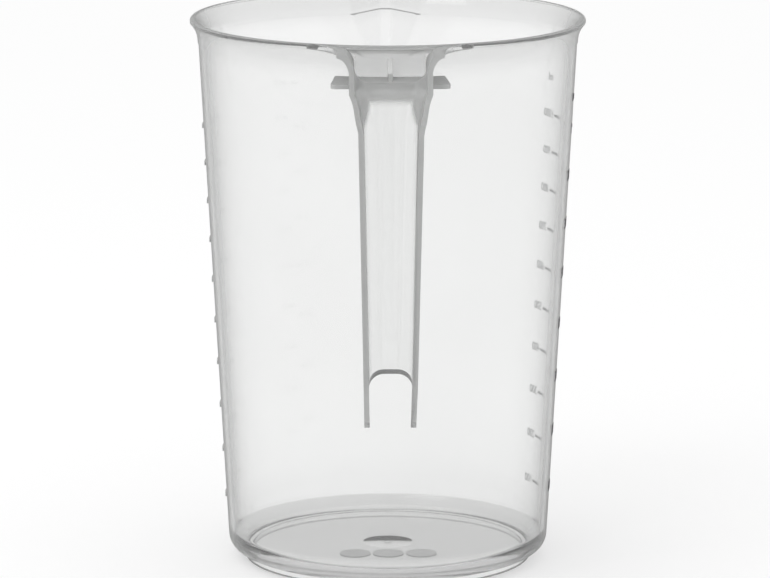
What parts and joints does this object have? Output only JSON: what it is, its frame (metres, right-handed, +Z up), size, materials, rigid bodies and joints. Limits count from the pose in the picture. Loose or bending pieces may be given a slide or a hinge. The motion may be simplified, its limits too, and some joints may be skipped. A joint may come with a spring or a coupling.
{
  "type": "resin mixing cup",
  "caption": "Graduated clear plastic jug with a pouring spout and an open-ended channel handle, for measuring and mixing resin.",
  "frame": {"origin": "middle of the foot, on the plane that the cup stands on", "axes": "+Z up along the cup's axis, the handle points to -Y and the spout to +Y, +X is to the right when the handle faces the viewer"},
  "size_m": [0.1176, 0.1588, 0.164],
  "materials": {
    "clear_plastic": "smooth moulded natural polypropylene, see-through with a faint haze",
    "scale_ink": "thin printed grey-black ink"
  },
  "bodies": {
    "root": {"cup_wall": "clear_plastic", "cup_floor": "clear_plastic", "foot_ring": "clear_plastic", "floor_pads": "clear_plastic", "rim_lip": "clear_plastic", "pouring_spout": "clear_plastic", "handle_backing": "clear_plastic", "handle_web": "clear_plastic", "handle_flange_left": "clear_plastic", "handle_flange_right": "clear_plastic", "handle_shelf": "clear_plastic", "shelf_gusset": "clear_plastic", "raised_hundreds": "clear_plastic", "raised_eighths": "clear_plastic", "printed_hundreds": "scale_ink", "printed_eighths": "scale_ink"}
  },
  "joints": []
}
